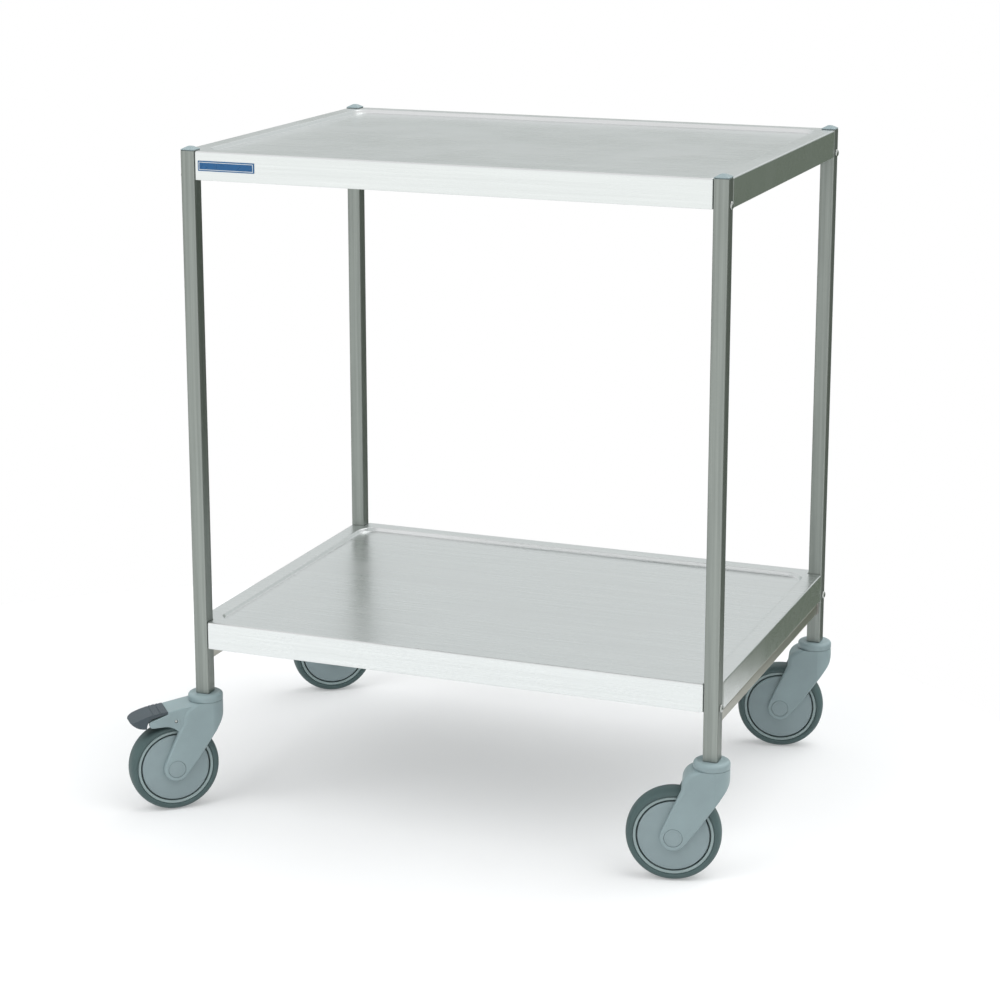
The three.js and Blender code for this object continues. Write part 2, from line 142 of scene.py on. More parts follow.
# What gloss sees: dim low down behind the cart, bright in front, and a softbox above and behind
BACK_LOW, FRONT_LOW = (0.155, 0.185, 0.145), (1.18, 1.19, 1.18)
BACK_HIGH, FRONT_HIGH = (0.79, 0.82, 0.82), (1.2, 1.22, 1.22)
OVERHEAD = (0.98, 0.96, 0.97)
SOFTBOX_TOWARDS = (0.25, 0.45, 0.86)
SOFTBOX_COLOUR = (2.6, 2.6, 2.6)

# What lights the matt surfaces, and what stands behind the cart
HORIZON, CEILING = (0.2, 0.21, 0.21), (0.62, 0.63, 0.63)
BACKDROP = (1.0, 1.0, 1.0)

# Camera: its aim from the cart's middle and its distance in metres, and its angles in degrees
AIM = (0.0111, 0.0201, 0.0619)
VIEW_AZIMUTH = 21.23
VIEW_ELEVATION = 13.38
VIEW_DISTANCE = 3.599
SENSOR = 36.0
LENS = 92.83
SHIFT = -0.08


# ---------------------------------------------------------------- outlines
def arc(centre, radius, start, end, count):
    """Points on an arc, from one angle in degrees to the other."""
    points = []
    for i in range(count + 1):
        angle = math.radians(start + (end - start) * i / count)
        points.append((centre[0] + radius * math.cos(angle), centre[1] + radius * math.sin(angle)))
    return points


def bend(start, control, end, count):
    """Points on a quadratic curve."""
    points = []
    for i in range(count + 1):
        t = i / count
        weights = ((1 - t) ** 2, 2 * t * (1 - t), t * t)
        points.append(tuple(
            sum(w * p[axis] for w, p in zip(weights, (start, control, end))) for axis in (0, 1)
        ))
    return points


def rounded(points, radius, steps=4, closed=True):
    """The outline with its corners turned into arcs. A list gives each corner its own radius."""
    out = []
    count = len(points)
    for i, point in enumerate(points):
        size = radius[i] if isinstance(radius, (list, tuple)) else radius
        if size <= 0 or (not closed and i in (0, count - 1)):
            out.append(tuple(point))
            continue
        here = Vector(point)
        back = Vector(points[i - 1]) - here
        ahead = Vector(points[(i + 1) % count]) - here
        half = back.angle(ahead) / 2
        reach = min(size / math.tan(half), 0.48 * back.length, 0.48 * ahead.length)
        middle = (back.normalized() + ahead.normalized()).normalized()
        centre = here + middle * (reach / math.cos(half))
        first = here + back.normalized() * reach - centre
        last = here + ahead.normalized() * reach - centre
        for k in range(steps + 1):
            spoke = first.normalized().slerp(last.normalized(), k / steps)
            out.append(tuple(centre + spoke * first.length))
    return out


def spaced(points, spacing=1.0, count=None):
    """The closed outline with points at an even spacing along it, or with this many points."""
    ring = [Vector(p) for p in points]
    ring.append(ring[0])
    lengths = [(b - a).length for a, b in zip(ring, ring[1:])]
    total = sum(lengths)
    count = count or round(total / spacing)
    out = []
    piece = 0
    passed = 0.0
    for i in range(count):
        target = total * i / count
        while passed + lengths[piece] < target:
            passed += lengths[piece]
            piece += 1
        share = (target - passed) / lengths[piece]
        out.append(tuple(ring[piece].lerp(ring[piece + 1], share)))
    return out


def eased(points, passes):
    """The closed outline with its corners eased by averaging each point with its neighbours."""
    ring = [Vector(p) for p in points]
    for _ in range(passes):
        ring = [(ring[i - 1] + 2 * p + ring[(i + 1) % len(ring)]) / 4 for i, p in enumerate(ring)]
    return [tuple(p) for p in ring]


def smooth(value, low, high):
    """0 below low, 1 above high, and a soft ramp between them."""
    t = min(1.0, max(0.0, (value - low) / (high - low)))
    return t * t * (3 - 2 * t)


def mixed(a, b, t):
    """The value a share of the way from a to b."""
    return a + (b - a) * t


def inset_line(points, distance):
    """An open line moved sideways, to the right of its own direction."""
    out = []
    for i, point in enumerate(points):
        before = Vector(points[max(i - 1, 0)])
        after = Vector(points[min(i + 1, len(points) - 1)])
        along = (after - before).normalized()
        out.append((point[0] + along.y * distance, point[1] - along.x * distance))
    return out


# ---------------------------------------------------------------- meshes
def skin(loops, closed=False):
    """Rings of equally many points, joined by quads. An open run of rings is capped at both ends."""
    count = len(loops[0])
    points = [p for loop in loops for p in loop]
    faces = []
    for i in range(len(loops) if closed else len(loops) - 1):
        here = i * count
        there = ((i + 1) % len(loops)) * count
        for j in range(count):
            k = (j + 1) % count
            faces.append((here + j, here + k, there + k, there + j))
    if not closed:
        faces.append(tuple(reversed(range(count))))
        faces.append(tuple(range((len(loops) - 1) * count, len(loops) * count)))
    return points, faces


def turned(profile, segments=96):
    """A round shape about the Y axis, from a closed line of (radius, y)."""
    loops = []
    for i in range(segments):
        angle = 2 * math.pi * i / segments
        loops.append([(r * math.cos(angle), y, r * math.sin(angle)) for r, y in profile])
    return skin(loops, closed=True)


def slab(outline, half):
    """A side outline in (u, z), made thick across Y."""
    return skin([[(u, y, z) for u, z in outline] for y in (-half, half)])


def pillow(outline, half, fillet, clip=None, across=9, around=6):
    """A side outline made thick across Y, with rounded side edges.

    fillet gives the rounding at a point of the outline, and clip the lowest u allowed at a y.
    """
    count = len(outline)
    points = [Vector(p) for p in outline]
    inward = []
    for i in range(count):
        along = (points[(i + 1) % count] - points[i - 1]).normalized()
        inward.append(Vector((-along.y, along.x)))
    sizes = [fillet(*p) for p in points]

    def section(flat_share, angle, side):
        loop = []
        for p, n, size in zip(points, inward, sizes):
            y = (half - size) * flat_share + size * math.sin(angle)
            moved = p + n * (size * (1 - math.cos(angle)))
            u = moved.x if clip is None else max(moved.x, clip(y))
            loop.append((u, side * y, moved.y))
        return loop

    steps = [
        (math.sin(math.radians(FLANK * i / across)) / math.sin(math.radians(FLANK)), 0.0)
        for i in range(1, across + 1)
    ]
    steps += [(1.0, math.pi / 2 * i / around) for i in range(1, around + 1)]
    loops = [section(*step, -1) for step in reversed(steps)]
    loops.append(section(0.0, 0.0, 1))
    loops += [section(*step, 1) for step in steps]
    return skin(loops)


def merged(*shapes):
    """Several shapes as one list of points and faces."""
    points = []
    faces = []
    for shape_points, shape_faces in shapes:
        start = len(points)
        points += shape_points
        faces += [tuple(start + i for i in face) for face in shape_faces]
    return points, faces


def placed(shape, matrix):
    """A shape moved by a matrix."""
    points, faces = shape
    return [tuple(matrix @ Vector(p)) for p in points], faces


def mesh_of(name, shape, sharp=SHARP):
    """A clean mesh in metres, smooth except over its sharp edges."""
    points, faces = shape
    mesh = bpy.data.meshes.new(name)
    mesh.from_pydata([tuple(c * MM for c in p) for p in points], [], faces)
    work = bmesh.new()
    work.from_mesh(mesh)
    bmesh.ops.remove_doubles(work, verts=work.verts, dist=MERGE * MM)
    bmesh.ops.dissolve_degenerate(work, edges=work.edges, dist=MERGE / 2 * MM)
    loose = [edge for edge in work.edges if not edge.link_faces]
    bmesh.ops.delete(work, geom=loose, context="EDGES")
    bmesh.ops.recalc_face_normals(work, faces=work.faces)
    work.to_mesh(mesh)
    work.free()
    shade(mesh, sharp)
    return mesh


def shade(mesh, sharp):
    """Smooth shading, broken at edges that turn by more than an angle in degrees."""
    mesh.shade_smooth()
    mesh.set_sharp_from_angle(angle=math.radians(sharp))


def cut(mesh, operations):
    """The mesh after booleans, each an operation and a shape."""
    body = bpy.data.objects.new("work_body", mesh)
    bpy.context.collection.objects.link(body)
    helpers = []
    for kind, shape in operations:
        tool = bpy.data.objects.new("work_tool", mesh_of("work_tool", shape))
        bpy.context.collection.objects.link(tool)
        helpers.append(tool)
        modifier = body.modifiers.new(kind, "BOOLEAN")
        modifier.operation = kind
        modifier.solver = "MANIFOLD"
        modifier.object = tool
    bpy.context.view_layer.update()
    graph = bpy.context.evaluated_depsgraph_get()
    result = bpy.data.meshes.new_from_object(body.evaluated_get(graph))
    for helper in [body, *helpers]:
        data = helper.data
        bpy.data.objects.remove(helper)
        bpy.data.meshes.remove(data)
    shade(result, SHARP)
    return result


def piece(name, mesh, finish, body, slot, matrix, stands_for=(), bevel=0.0):
    """A finished object, set in place, that rides on a CAD body and stands for CAD nodes."""
    mesh = mesh.copy()
    mesh.name = name
    mesh.materials.clear()
    mesh.materials.append(finish)
    mesh.transform(matrix.to_3x3().to_4x4())
    obj = bpy.data.objects.new(name, mesh)
    bpy.context.collection.objects.link(obj)
    obj.location = matrix.translation
    if bevel:
        rounding = obj.modifiers.new("rounding", "BEVEL")
        rounding.width = bevel * MM
        rounding.segments = 3
        rounding.limit_method = "ANGLE"
        rounding.angle_limit = math.radians(30)
    normals = obj.modifiers.new("normals", "WEIGHTED_NORMAL")
    normals.keep_sharp = True
    normals.weight = 60
    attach(obj, body)
    if stands_for:
        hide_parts(*stands_for)
    return obj


# ---------------------------------------------------------------- materials
def new_material(name, colour, roughness, metallic=0.0):
    """A material with its node tree, its shader, and its object coordinates."""
    material = bpy.data.materials.new(name)
    material.use_nodes = True
    tree = material.node_tree
    shader = tree.nodes["Principled BSDF"]
    shader.inputs["Base Color"].default_value = (*colour, 1.0)
    shader.inputs["Roughness"].default_value = roughness
    shader.inputs["Metallic"].default_value = metallic
    coordinates = tree.nodes.new("ShaderNodeTexCoord").outputs["Object"]
    return material, tree, shader, coordinates


def noise(tree, coordinates, scale, detail=4.0, rough=0.55):
    """Noise over the coordinates. Three scales stretch it into a grain."""
    stretch = tree.nodes.new("ShaderNodeMapping")
    stretch.inputs["Scale"].default_value = scale if isinstance(scale, tuple) else (scale,) * 3
    texture = tree.nodes.new("ShaderNodeTexNoise")
    texture.inputs["Scale"].default_value = 1.0
    texture.inputs["Detail"].default_value = detail
    texture.inputs["Roughness"].default_value = rough
    tree.links.new(coordinates, stretch.inputs["Vector"])
    tree.links.new(stretch.outputs["Vector"], texture.inputs["Vector"])
    return texture.outputs["Fac"]


def ranged(tree, value, low, high, start=0.3, end=0.7):
    """The value's range from start to end, spread from low to high."""
    spread = tree.nodes.new("ShaderNodeMapRange")
    spread.inputs["From Min"].default_value = start
    spread.inputs["From Max"].default_value = end
    spread.inputs["To Min"].default_value = low
    spread.inputs["To Max"].default_value = high
    tree.links.new(value, spread.inputs["Value"])
    return spread.outputs["Result"]


def calculated(tree, operation, first, second):
    """A sum or another calculation on two values. Either may be the output of another node."""
    node = tree.nodes.new("ShaderNodeMath")
    node.operation = operation
    for socket, value in zip(node.inputs, (first, second)):
        if isinstance(value, (int, float)):
            socket.default_value = value
        else:
            tree.links.new(value, socket)
    return node.outputs[0]


def blended(tree, share, first, second):
    """A colour between two colours. Either may be the output of another node."""
    node = tree.nodes.new("ShaderNodeMix")
    node.data_type = "RGBA"
    tree.links.new(share, node.inputs["Factor"])
    for socket, value in ((node.inputs[6], first), (node.inputs[7], second)):
        if isinstance(value, tuple):
            socket.default_value = (*value, 1.0)
        else:
            tree.links.new(value, socket)
    return node.outputs[2]


def faded(tree, value, start, end, first, second):
    """One colour up to the start of a range, another past its end, and a fade between them."""
    return blended(tree, ranged(tree, value, 0.0, 1.0, start, end), first, second)


def bumped(tree, height, distance, below=None):
    """A bump of this height in metres, over another bump if one is given."""
    node = tree.nodes.new("ShaderNodeBump")
    node.inputs["Distance"].default_value = distance
    node.inputs["Strength"].default_value = 1.0
    tree.links.new(height, node.inputs["Height"])
    if below is not None:
        tree.links.new(below, node.inputs["Normal"])
    return node.outputs["Normal"]


def scaled(colour, factor):
    """A darker or lighter tone of a colour."""
    return tuple(c * factor for c in colour)


def varied(tree, value, colour, spread):
    """The colour made darker and lighter by a share of itself, as the value goes over its range."""
    return faded(tree, value, 0.3, 0.7, scaled(colour, 1 - spread), scaled(colour, 1 + spread))


def steel(name, colour, along, roughness=(0.24, 0.36), wave=0.0004, streaks=0.06):
    """Satin stainless steel, ground along one axis: fine lines, soft smudges, and a slight wave."""
    material, tree, shader, where = new_material(name, colour, roughness[0], 1.0)
    fine = tuple(9.0 if axis == along else 1500.0 for axis in range(3))
    coarse = tuple(3.0 if axis == along else 260.0 for axis in range(3))
    lines = noise(tree, where, fine, detail=3.0, rough=0.7)
    bands = noise(tree, where, coarse, detail=3.0)
    smudges = noise(tree, where, 7.0, detail=3.0)
    base = varied(tree, bands, colour, streaks)
    tinted = blended(tree, ranged(tree, lines, 0.0, 0.35), base, scaled(colour, GROOVE_SHADE))
    worn = ranged(tree, smudges, -0.03, 0.04)
    gloss = calculated(tree, "ADD", ranged(tree, lines, *roughness), worn)
    tree.links.new(tinted, shader.inputs["Base Color"])
    tree.links.new(gloss, shader.inputs["Roughness"])
    slow = bumped(tree, noise(tree, where, 4.0, detail=1.0), wave)
    tree.links.new(bumped(tree, lines, GRIND_DEPTH, below=slow), shader.inputs["Normal"])
    return material


def plastic(name, colour, roughness=0.42, grain=0.00004, spread=0.06):
    """Moulded plastic: a fine even grain, faint flow marks, and a soft gloss."""
    material, tree, shader, where = new_material(name, colour, roughness)
    flow = noise(tree, where, 22.0, detail=3.0)
    sparks = noise(tree, where, 1400.0, detail=2.0)
    base = varied(tree, flow, colour, spread)
    speckled = blended(tree, ranged(tree, sparks, 0.0, 0.3, 0.45, 0.75), base, scaled(colour, 0.82))
    tree.links.new(speckled, shader.inputs["Base Color"])
    dulled = ranged(tree, sparks, -0.03, 0.05)
    gloss = calculated(tree, "ADD", ranged(tree, flow, roughness - 0.04, roughness + 0.05), dulled)
    tree.links.new(gloss, shader.inputs["Roughness"])
    tree.links.new(bumped(tree, sparks, grain), shader.inputs["Normal"])
    return material


def enamel(name, colour, border, half_length, half_height):
    """Glossy blue enamel with a plain pale line set in from its edge."""
    material, tree, shader, where = new_material(name, colour, 0.28)
    split = tree.nodes.new("ShaderNodeSeparateXYZ")
    tree.links.new(where, split.inputs["Vector"])

    def from_edge(half, axis):
        away = calculated(tree, "ABSOLUTE", split.outputs[axis], 0.0)
        return calculated(tree, "SUBTRACT", half, away)

    depth = calculated(tree, "MINIMUM", from_edge(half_length, "X"), from_edge(half_height, "Z"))
    offset = calculated(tree, "ABSOLUTE", calculated(tree, "SUBTRACT", depth, LINE_INSET * MM), 0.0)
    line = ranged(tree, offset, 1.0, 0.0, 0.35 * MM, 0.5 * MM)
    cloud = noise(tree, where, 120.0, detail=3.0)
    base = varied(tree, cloud, colour, 0.1)
    tree.links.new(blended(tree, line, base, border), shader.inputs["Base Color"])
    tree.links.new(ranged(tree, cloud, 0.24, 0.34), shader.inputs["Roughness"])
    tree.links.new(bumped(tree, cloud, 0.00002), shader.inputs["Normal"])
    shader.inputs["Coat Weight"].default_value = 0.15
    shader.inputs["Coat Roughness"].default_value = 0.1
    return material


SHEET_STEEL = steel("sheet_steel", (0.72, 0.745, 0.74), along=0, roughness=(0.24, 0.32), streaks=0.04)
# The legs' brushed steel is a much darker copy of the shelves' steel: painted shade, for how dark the
# legs look in the studio's light
SHADED_LEG_STEEL = steel(
    "shaded_leg_steel", (0.285, 0.31, 0.29), along=2, roughness=(0.4, 0.56), wave=0.0001, streaks=0.16,
)
BAR_STEEL = steel("bar_steel", (0.52, 0.51, 0.46), along=1, roughness=(0.34, 0.48), wave=0.0001)
BRIGHT_STEEL = steel("bright_steel", (0.45, 0.47, 0.45), along=2, roughness=(0.16, 0.28), wave=0.00002)
WELD_STEEL = steel("weld_steel", (0.3, 0.29, 0.27), along=2, roughness=(0.35, 0.55), wave=0.0003)
GREY_PLASTIC = plastic("grey_plastic", (0.265, 0.345, 0.36))
COVER_PLASTIC = plastic("cover_plastic", (0.25, 0.32, 0.335), roughness=0.38)
RIM_PLASTIC = plastic("rim_plastic", (0.285, 0.365, 0.365), roughness=0.36)
TYRE_RUBBER = plastic("tyre_rubber", (0.062, 0.102, 0.102), roughness=0.58, grain=0.00006, spread=0.12)
PAD_PLASTIC = plastic("pad_plastic", (0.05, 0.068, 0.08), roughness=0.5, spread=0.1)


# ---------------------------------------------------------------- shelves
def notched_ring(half_x, half_y, inset, z):
    """The shelf's outline with a notch for each leg, drawn in by an inset."""
    x = half_x - inset
    y = half_y - inset
    corner_points = []
    for sx, sy in ((1, -1), (1, 1), (-1, 1), (-1, -1)):
        near_x, near_y = sx * (x - NOTCH), sy * (y - NOTCH)
        three = [(near_x, sy * y), (near_x, near_y), (sx * x, near_y)]
        corner_points += three if sx * sy < 0 else three[::-1]
    outside = max(NOTCH_OUTSIDE - inset, 0.3)
    inside = NOTCH_INSIDE + inset
    radii = [outside, inside, outside] * 4
    return [(u, v, z) for u, v in rounded(corner_points, radii, steps=5)]


def panel_ring(half_x, half_y, inset, z):
    """The panel's rounded rectangle, with as many points as the notched outline."""
    x = half_x - inset
    y = half_y - inset
    radius = PANEL_CORNER - 0.5 * max(inset - RIM, 0.0)
    ring = []
    for sx, sy, start in ((1, -1, 270), (1, 1, 0), (-1, 1, 90), (-1, -1, 180)):
        ring += arc((sx * (x - radius), sy * (y - radius)), radius, start, start + 90, 17)
    return [(u, v, z) for u, v in ring]


def step_line():
    """The press step from the panel up to the rim, as (inset, height)."""
    low = [(0.0, 0.0)]
    slope = math.radians(STEP_ANGLE)
    run = STEP_RUN - 2 * STEP_RADIUS * math.sin(slope)
    for i in range(1, 6):
        angle = slope * i / 5
        low.append((STEP_RADIUS * math.sin(angle), STEP_RADIUS * (1 - math.cos(angle))))
    rise = low[-1][1] + run * math.tan(slope)
    high = [(STEP_RUN - u, rise + low[-1][1] - z) for u, z in reversed(low)]
    line = low + high
    return [(RIM + STEP_RUN - u, z - line[-1][1]) for u, z in line]


def shelf_section(depth):
    """Half a section of a shelf, from the panel over the rim and down the side, and back inside."""
    step = step_line()
    line = [(RIM + STEP_RUN + PANEL_MARGIN, step[0][1])] + step
    for i in range(7):
        angle = math.radians(15 * i)
        line.append((EDGE_BEND - EDGE_BEND * math.sin(angle), EDGE_BEND * math.cos(angle) - EDGE_BEND))
    fold = SHEET / 2
    line.append((0.0, fold - depth))
    inside = inset_line(line, -SHEET)
    hem = []
    for i in range(1, 6):
        angle = math.radians(30 * i)
        hem.append((fold - fold * math.cos(angle), fold - depth - fold * math.sin(angle)))
    return line + hem + inside[::-1]


def weld_nut(x, y, z, side):
    """A six-sided nut with rounded points, welded inside a shelf's end wall."""
    loops = []
    for along, grow in ((0.0, 0.0), (0.8, 0.0), (NUT_DEPTH - 0.5, 0.0), (NUT_DEPTH, -0.5)):
        ring = arc((0, 0), NUT_RADIUS + grow, 0, 300, 5)
        loops.append([(x - side * along, y + u, z + v) for u, v in rounded(ring, 0.5, 2)])
    return skin(loops)


def millimetre_box(node):
    """A CAD node's lowest and highest corners, and its middle."""
    low, high = (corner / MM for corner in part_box(node))
    return low, high, (low + high) / 2


def at(x, y, z):
    """The move to a place given in millimetres."""
    return Matrix.Translation(Vector((x, y, z)) * MM)


def add_shelf(node):
    low, high, middle = millimetre_box(node)
    half_x, half_y = (high.x - low.x) / 2, (high.y - low.y) / 2
    loops = []
    for inset, z in shelf_section(high.z - low.z):
        ring = panel_ring if inset > RING_CHANGE else notched_ring
        loops.append(ring(half_x, half_y, inset, z))
    shapes = [skin(loops)]
    wall = half_x - NOTCH - SHEET + NUT_SUNK
    for sx in (-1, 1):
        for sy in (-1, 1):
            shapes.append(weld_nut(sx * wall, sy * (half_y - NOTCH / 2), NUT_LEVEL, sx))
    name = f"pressed_{node}"
    mesh = mesh_of(name, merged(*shapes), sharp=40)
    piece(name, mesh, SHEET_STEEL, "frame", "brushed_steel", at(middle.x, middle.y, high.z), (node,))


# ---------------------------------------------------------------- tubes, caps, screws and label
def box_ring(half_x, half_y, radius, steps=5):
    """A rectangle about the origin, with rounded corners."""
    corners = [(half_x, -half_y), (half_x, half_y), (-half_x, half_y), (-half_x, -half_y)]
    return rounded(corners, radius, steps)


def tube(half_x, half_y, length, wall, corner):
    """A rectangular tube up the Z axis from 0, with softened ends."""
    inner = max(corner - wall, 0.5)
    section = [
        (0.25, 0.0, corner), (0.0, 0.25, corner),
        (0.0, length - 0.25, corner), (0.25, length, corner),
        (wall - 0.15, length, inner), (wall, length - 0.2, inner),
        (wall, 0.2, inner), (wall - 0.15, 0.0, inner),
    ]
    loops = []
    for inset, z, radius in section:
        loops.append([(u, v, z) for u, v in box_ring(half_x - inset, half_y - inset, radius)])
    return skin(loops, closed=True)


def leg_cap(half):
    """The plug's four-sided dome: short upright sides, sloped faces and a small round top."""
    plug = half - TUBE_WALL - 0.3
    profile = [
        (plug - 1.5, -14.0, 1.0), (plug, -12.5, 1.0), (plug, 0.3, 1.0), (half - 0.3, 0.3, 1.9),
        (half, 0.6, 1.9), (half, 1.2, 1.9), (half - 0.15, 1.55, 1.8), (half - 0.5, 1.8, 1.6),
        (half - 3.0, 3.15, 1.3), (half - 5.5, 4.5, 1.0), (half - 6.5, 5.0, 0.9), (half - 7.3, 5.3, 0.8),
        (half - 8.2, 5.45, 0.7), (1.0, 5.5, 0.5),
    ]
    return skin([[(u, v, z) for u, v in box_ring(w, w, r, 6)] for w, z, r in profile])


def screw():
    """A domed head with a six-sided socket, its seat at x = 0 and its shank along -X."""
    count = 48
    outline = [
        (SHANK_RADIUS - 0.4, -SHANK_LENGTH), (SHANK_RADIUS, 0.6 - SHANK_LENGTH), (SHANK_RADIUS, 0.0),
        (HEAD_RADIUS - 0.15, 0.0), (HEAD_RADIUS, 0.2), (HEAD_RADIUS, 0.7),
        (0.93 * HEAD_RADIUS, 1.5), (0.8 * HEAD_RADIUS, 2.25), (0.62 * HEAD_RADIUS, 2.85),
        (0.47 * HEAD_RADIUS, 3.12), (0.41 * HEAD_RADIUS, HEAD_HEIGHT),
    ]
    loops = []
    for radius, along in outline:
        ring = arc((0, 0), radius, 0, 360 - 360 / count, count - 1)
        loops.append([(along, u, v) for u, v in ring])
    for size, along in ((1.0, HEAD_HEIGHT - 0.1), (0.95, HEAD_HEIGHT - 0.3), (0.95, 1.0), (0.5, 0.8)):
        ring = []
        for i in range(count):
            angle = 2 * math.pi * i / count
            flat = math.cos(math.pi / 6) / math.cos((angle % (math.pi / 3)) - math.pi / 6)
            radius = size * SOCKET_RADIUS * flat
            ring.append((along, radius * math.cos(angle), radius * math.sin(angle)))
        loops.append(ring)
    return skin(loops)


def weld_bead(half_x, half_z, corner):
    """A rippled bead round a bar's end, standing off a leg towards -Y."""
    loops = []
    for grow, along in ((0.0, -BEAD), (0.35, -1.5), (0.8, -0.9), (1.4, -0.4), (1.7, 0.0), (0.0, 0.1)):
        ring = spaced(box_ring(half_x + grow, half_z + grow, corner + grow, 4), count=BEAD_POINTS)
        swell = [1 + RIPPLE * grow * math.sin(RIPPLE_TURN * i) for i in range(BEAD_POINTS)]
        loops.append([(u * s, along, v * s) for (u, v), s in zip(ring, swell)])
    return skin(loops)


def add_leg(corner):
    low, high, middle = millimetre_box(f"leg_{corner}")
    half = (high.x - low.x) / 2
    foot = at(middle.x, middle.y, low.z)
    head = at(middle.x, middle.y, high.z)
    name = f"tube_leg_{corner}"
    mesh = mesh_of(name, tube(half, half, high.z - low.z, TUBE_WALL, TUBE_CORNER))
    piece(name, mesh, SHADED_LEG_STEEL, "frame", "brushed_steel", foot, (f"leg_{corner}",))
    name = f"domed_cap_{corner}"
    mesh = mesh_of(name, leg_cap(half))
    piece(name, mesh, COVER_PLASTIC, "frame", "grey_plastic", head, (f"leg_cap_{corner}",))


def add_screw(node, outward):
    """A screw whose head is on the side that outward says, 1 for +X and -1 for -X."""
    low, high, middle = millimetre_box(node)
    seat = (high.x if outward > 0 else low.x) - outward * HEAD_HEIGHT
    turn = Matrix.Rotation(0.0 if outward > 0 else math.pi, 4, "Z")
    place = at(seat, middle.y, middle.z) @ turn
    name = f"domed_{node}"
    mesh = mesh_of(name, screw(), sharp=40)
    piece(name, mesh, BRIGHT_STEEL, "frame", "bright_steel", place, (node,))


def add_bar(side):
    low, high, middle = millimetre_box(f"crossbar_{side}")
    half_x, half_z = (high.x - low.x) / 2, (high.z - low.z) / 2
    lie = Matrix.Rotation(-math.pi / 2, 4, "X")
    shape = placed(tube(half_x, half_z, high.y - low.y, BAR_WALL, BAR_CORNER), lie)
    name = f"tube_bar_{side}"
    mesh = mesh_of(name, shape)
    place = at(middle.x, low.y, middle.z)
    piece(name, mesh, BAR_STEEL, "frame", "brushed_steel", place, (f"crossbar_{side}",))
    for end, y, turn in (("front", low.y, math.pi), ("rear", high.y, 0.0)):
        place = at(middle.x, y, middle.z) @ Matrix.Rotation(turn, 4, "Z")
        name = f"weld_{side}_{end}"
        bead = mesh_of(name, weld_bead(half_x, half_z, BAR_CORNER), sharp=60)
        piece(name, bead, WELD_STEEL, "frame", "brushed_steel", place)


def add_label():
    low, high, middle = millimetre_box("label_plate")
    half_x, half_z = (high.x - low.x) / 2, (high.z - low.z) / 2
    back, front = high.y - middle.y, low.y - middle.y
    loops = []
    for inset, y in ((0.0, back), (0.0, front + 0.2), (0.08, front + 0.06), (0.2, front)):
        loops.append([(u, y, v) for u, v in box_ring(half_x - inset, half_z - inset, 0.8)])
    finish = enamel("blue_enamel", (0.004, 0.1, 0.27), (0.75, 0.8, 0.82), half_x * MM, half_z * MM)
    mesh = mesh_of("enamel_label", skin(loops))
    place = Matrix.Translation(middle * MM)
    piece("enamel_label", mesh, finish, "frame", "label_blue", place, ("label_plate",))


# ---------------------------------------------------------------- caster shapes
def fork_outline():
    """Side view of the fork: upright back, arm swept to the axle, and a crown over the tyre."""
    line = arc((-23.0, FORK_TOP - 1.0), 1.0, 90, 180, 3)
    line.append((-COLLAR_RADIUS, 137.9))
    line += bend((-COLLAR_RADIUS, 137.9), (-COLLAR_RADIUS, 129.9), (-14.0, 118.4), 10)[1:]
    line.append((16.0, 73.9))
    line += arc((TRAIL, AXLE_Z), ARM_END, 215, 384, 40)
    line.append((38.0, 127.9))
    line += bend((38.0, 127.9), (39.5, 146.9), (22.0, FORK_TOP), 14)[1:]
    return eased(spaced(line, 1.8), 3)


def fork_fillet(u, z):
    """Wide rounding over the crown's front, narrow along the arms, and almost none under the collar."""
    size = mixed(2.4, 7.0, smooth(z, 104, 132) * smooth(u, 8, 28))
    size = mixed(size, 0.9, smooth(-u, 8, 22))
    return mixed(size, 0.5, smooth(z, 149.5, 152.6) * smooth(-u, -22, -12))


def fork_clip(y):
    """The fork's back follows the collar's round side."""
    return -math.sqrt(max(COLLAR_RADIUS ** 2 - y * y, 0.0))


def round_solid(radius, low, high, about=(0.0, 0.0), chamfer=0.0, segments=96):
    """A round rod along Y about a point of the side view."""
    profile = [(0.0, low), (radius - chamfer, low), (radius, low + chamfer),
               (radius, high - chamfer), (radius - chamfer, high), (0.0, high)]
    place = Matrix.Translation((about[0], 0, about[1]))
    return placed(turned(profile, segments), place)


def axle_space():
    """The axle's bore through the fork, with a recess for its cap on each side."""
    half = [(AXLE_BORE, 20.5), (CAP_RECESS, 20.5), (CAP_RECESS, 30.0), (0.0, 30.0)]
    return placed(turned(mirrored(half), 64), Matrix.Translation((TRAIL, 0, AXLE_Z)))


def stem_space():
    """The bore for the stem, down through the fork's crown."""
    rod = round_solid(STEM_BORE, STEM_BORE_FOOT, 200.0, segments=48)
    return placed(rod, Matrix.Rotation(math.pi / 2, 4, "X"))


def cheek_outline():
    """Side view of the brake housing: flat hood, round tip, and an underside that clears the tyre."""
    tip = arc((78.5, 129.8), 5.5, 270, 450, 12)
    under = [(20.0, 140.0), (30.0, 125.0), (42.0, 114.0)]
    under += bend((42.0, 114.0), (51.0, 125.5), (66.0, 124.6), 12)[1:]
    top = [(HEEL, 142.6), (HEEL - 0.5, HOOD_TOP), (20.0, FORK_TOP - 0.5)]
    return spaced(under + tip + top, 1.4)


def cheek_pocket():
    """The space between the housing's cheeks, under the hood and open in front of it."""
    under = HOOD_TOP - HOOD_THICKNESS
    back, open_from = 38.6, HEEL - 0.5
    outline = [(back, 90), (110, 90), (110, 160), (open_from, 160), (open_from, under), (back, under)]
    return slab(outline, ARM_INSIDE)


